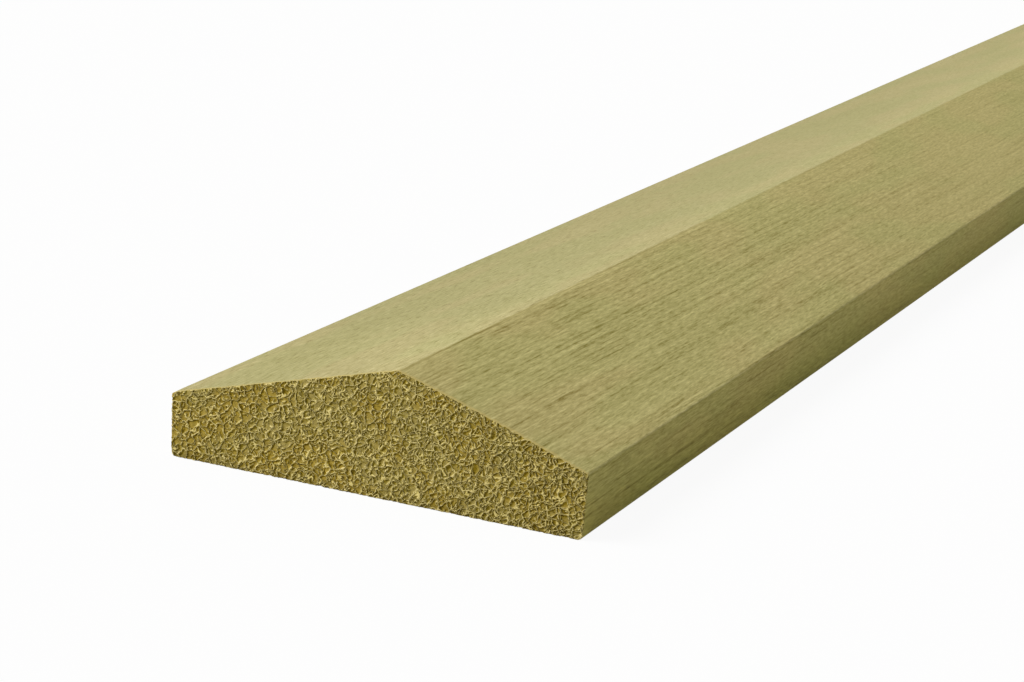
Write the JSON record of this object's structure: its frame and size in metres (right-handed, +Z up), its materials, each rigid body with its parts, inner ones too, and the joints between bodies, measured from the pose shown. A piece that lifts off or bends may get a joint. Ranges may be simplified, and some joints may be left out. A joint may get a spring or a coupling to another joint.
{
  "type": "capping rail",
  "caption": "Straight softwood capping rail with a flat underside, low upright edges and two shallow slopes that shed water from an off-centre ridge.",
  "frame": {"origin": "middle of the flat underside, at half the width and half the length", "axes": "+Y along the rail, from the end that the picture shows to the far end; +Z up from the underside to the ridge; +X to the right seen from the shown end, towards the narrower slope"},
  "size_m": [0.07, 1.83, 0.0205],
  "materials": {
    "treated_softwood": "planed softwood, pressure treated to a pale olive green, with sawn ends"
  },
  "bodies": {
    "root": {"capping_rail": "treated_softwood"}
  },
  "joints": []
}
